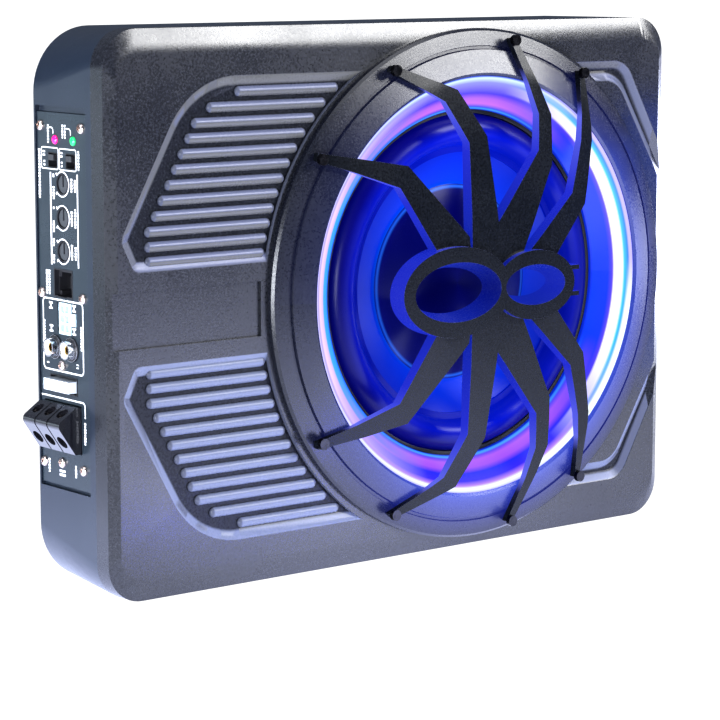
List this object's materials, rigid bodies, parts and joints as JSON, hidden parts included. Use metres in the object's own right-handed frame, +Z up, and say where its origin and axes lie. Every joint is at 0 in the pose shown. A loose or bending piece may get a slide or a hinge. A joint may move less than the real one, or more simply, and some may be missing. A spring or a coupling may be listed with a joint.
{
  "type": "powered car subwoofer",
  "caption": "Slim powered car subwoofer: a flat case with a lit round driver behind an armed guard, and a side panel of controls, sockets and power terminals.",
  "frame": {"origin": "under the middle of the object's box, on the surface it stands on", "axes": "+X along the case's width towards the speaker end, -Y out of the speaker face, +Z up"},
  "size_m": [0.3573, 0.08, 0.26],
  "materials": {
    "cover_plastic": "fine sand-textured charcoal ABS",
    "shell_plastic": "satin dark navy moulded ABS",
    "bezel_plastic": "textured black ABS with polished edges",
    "guard_plastic": "fine-grained black ABS",
    "foam": "closed-cell foam cord",
    "screw_black": "black oxide steel",
    "screw_nickel": "nickel-plated steel",
    "screw_zinc": "zinc-plated steel",
    "insert_brass": "knurled brass",
    "diffuser": "opal light diffuser",
    "led": "LED package",
    "circuit_board": "glass-epoxy board",
    "basket_steel": "black painted pressed steel",
    "rubber": "butyl rubber",
    "cone_paper": "pressed and coated cone",
    "cap_plastic": "satin polypropylene",
    "coil": "copper winding on an aluminium former",
    "cloth": "resin-treated cotton",
    "plated_steel": "zinc-plated steel",
    "ferrite": "ferrite",
    "panel_steel": "black powder coat with white print",
    "control_black": "moulded nylon",
    "knob_black": "moulded nylon",
    "slider_dark": "moulded nylon",
    "light_green": "tinted lens",
    "light_red": "tinted lens",
    "gold_contact": "gold flash",
    "connector_white": "natural nylon",
    "tin": "tin plate",
    "nickel": "bright nickel",
    "insulator_white": "acetal",
    "fuse_clear": "clear blade fuse body",
    "terminal_black": "glass-filled nylon",
    "capacitor": "PVC sleeved can",
    "choke": "enamelled copper on a ferrite ring",
    "heat_sink": "extruded aluminium"
  },
  "bodies": {
    "case": {"amplifier_board": "circuit_board", "auto_power_switch_body": "control_black", "bass_boost_control": "control_black", "bezel_ring": "bezel_plastic", "capacitors": "capacitor", "case_screws": "screw_zinc", "choke_coil": "choke", "control_board": "circuit_board", "control_plate": "panel_steel", "cover_seal": "foam", "front_cover": "cover_plastic", "fuse_holder": "control_black", "guard": "guard_plastic", "guard_screws": "screw_black", "heat_sink": "heat_sink", "input_gain_control": "control_black", "led_board": "circuit_board", "led_chips": "led", "led_diffuser": "diffuser", "low_pass_control": "control_black", "magnet": "ferrite", "mounting_inserts": "insert_brass", "phase_switch_body": "control_black", "plate_screws": "screw_nickel", "power_light": "light_green", "protect_light": "light_red", "rca_contacts": "gold_contact", "rca_insulators": "insulator_white", "rca_left": "nickel", "rca_right": "nickel", "rear_shell": "shell_plastic", "remote_contacts": "gold_contact", "remote_socket": "control_black", "speaker_basket": "basket_steel", "speaker_gasket": "foam", "speaker_level_pins": "tin", "speaker_level_socket": "connector_white", "speaker_screws": "screw_zinc", "spider": "cloth", "surround": "rubber", "terminal_block": "terminal_black", "top_plate": "plated_steel", "transistors": "control_black", "yoke": "plated_steel"},
    "cone_assembly": {"cone": "cone_paper", "dust_cap": "cap_plastic", "voice_coil": "coil"},
    "low_pass_knob": {"low_pass_knob": "knob_black"},
    "bass_boost_knob": {"bass_boost_knob": "knob_black"},
    "input_gain_knob": {"input_gain_knob": "knob_black"},
    "phase_slider": {"phase_switch_slider": "slider_dark"},
    "auto_power_slider": {"auto_power_switch_slider": "slider_dark"},
    "fuse": {"blade_fuse": "fuse_clear"},
    "plus_clamp": {"plus_clamp": "tin"},
    "plus_screw": {"plus_screw": "screw_nickel"},
    "remote_turn_on_clamp": {"remote_turn_on_clamp": "tin"},
    "remote_turn_on_screw": {"remote_turn_on_screw": "screw_nickel"},
    "ground_clamp": {"ground_clamp": "tin"},
    "ground_screw": {"ground_screw": "screw_nickel"}
  },
  "joints": [
    {"name": "cone_travel", "type": "slide", "parent": "case", "child": "cone_assembly", "axis": [0, -1, 0], "range_m": [-0.005, 0.005], "stiffness_N_per_m": 1500, "deforming": ["surround", "spider"]},
    {"name": "low_pass_turn", "type": "hinge", "parent": "case", "child": "low_pass_knob", "pos_m": [-0.1665, 0.0181, 0.1894], "axis": [-1, 0, 0], "range_deg": [-150, 150]},
    {"name": "bass_boost_turn", "type": "hinge", "parent": "case", "child": "bass_boost_knob", "pos_m": [-0.1665, 0.0181, 0.174], "axis": [-1, 0, 0], "range_deg": [-150, 150]},
    {"name": "input_gain_turn", "type": "hinge", "parent": "case", "child": "input_gain_knob", "pos_m": [-0.1665, 0.0181, 0.1587], "axis": [-1, 0, 0], "range_deg": [-150, 150]},
    {"name": "phase_slide", "type": "slide", "parent": "case", "child": "phase_slider", "axis": [0, 0, -1], "range_m": [0, 0.0025]},
    {"name": "auto_power_slide", "type": "slide", "parent": "case", "child": "auto_power_slider", "axis": [0, 0, -1], "range_m": [0, 0.0025]},
    {"name": "fuse_pull", "type": "slide", "parent": "case", "child": "fuse", "axis": [-1, 0, 0], "range_m": [0, 0.018]},
    {"name": "plus_clamp_slide", "type": "slide", "parent": "case", "child": "plus_clamp", "axis": [0.5, 0, -0.866], "range_m": [0, 0.00239]},
    {"name": "plus_screw_turn", "type": "hinge", "parent": "plus_clamp", "child": "plus_screw", "pos_m": [-0.16965, 0.0102, 0.07927], "axis": [0.5, 0, -0.866], "range_deg": [0, 1080]},
    {"name": "remote_turn_on_clamp_slide", "type": "slide", "parent": "case", "child": "remote_turn_on_clamp", "axis": [0.5, 0, -0.866], "range_m": [0, 0.00239]},
    {"name": "remote_turn_on_screw_turn", "type": "hinge", "parent": "remote_turn_on_clamp", "child": "remote_turn_on_screw", "pos_m": [-0.16965, 0.0204, 0.07927], "axis": [0.5, 0, -0.866], "range_deg": [0, 1080]},
    {"name": "ground_clamp_slide", "type": "slide", "parent": "case", "child": "ground_clamp", "axis": [0.5, 0, -0.866], "range_m": [0, 0.00239]},
    {"name": "ground_screw_turn", "type": "hinge", "parent": "ground_clamp", "child": "ground_screw", "pos_m": [-0.16965, 0.0306, 0.07927], "axis": [0.5, 0, -0.866], "range_deg": [0, 1080]}
  ],
  "couplings": [
    {"joint": "plus_screw_turn", "follows": "plus_clamp_slide", "rad_per_m": 7854},
    {"joint": "remote_turn_on_screw_turn", "follows": "remote_turn_on_clamp_slide", "rad_per_m": 7854},
    {"joint": "ground_screw_turn", "follows": "ground_clamp_slide", "rad_per_m": 7854}
  ]
}
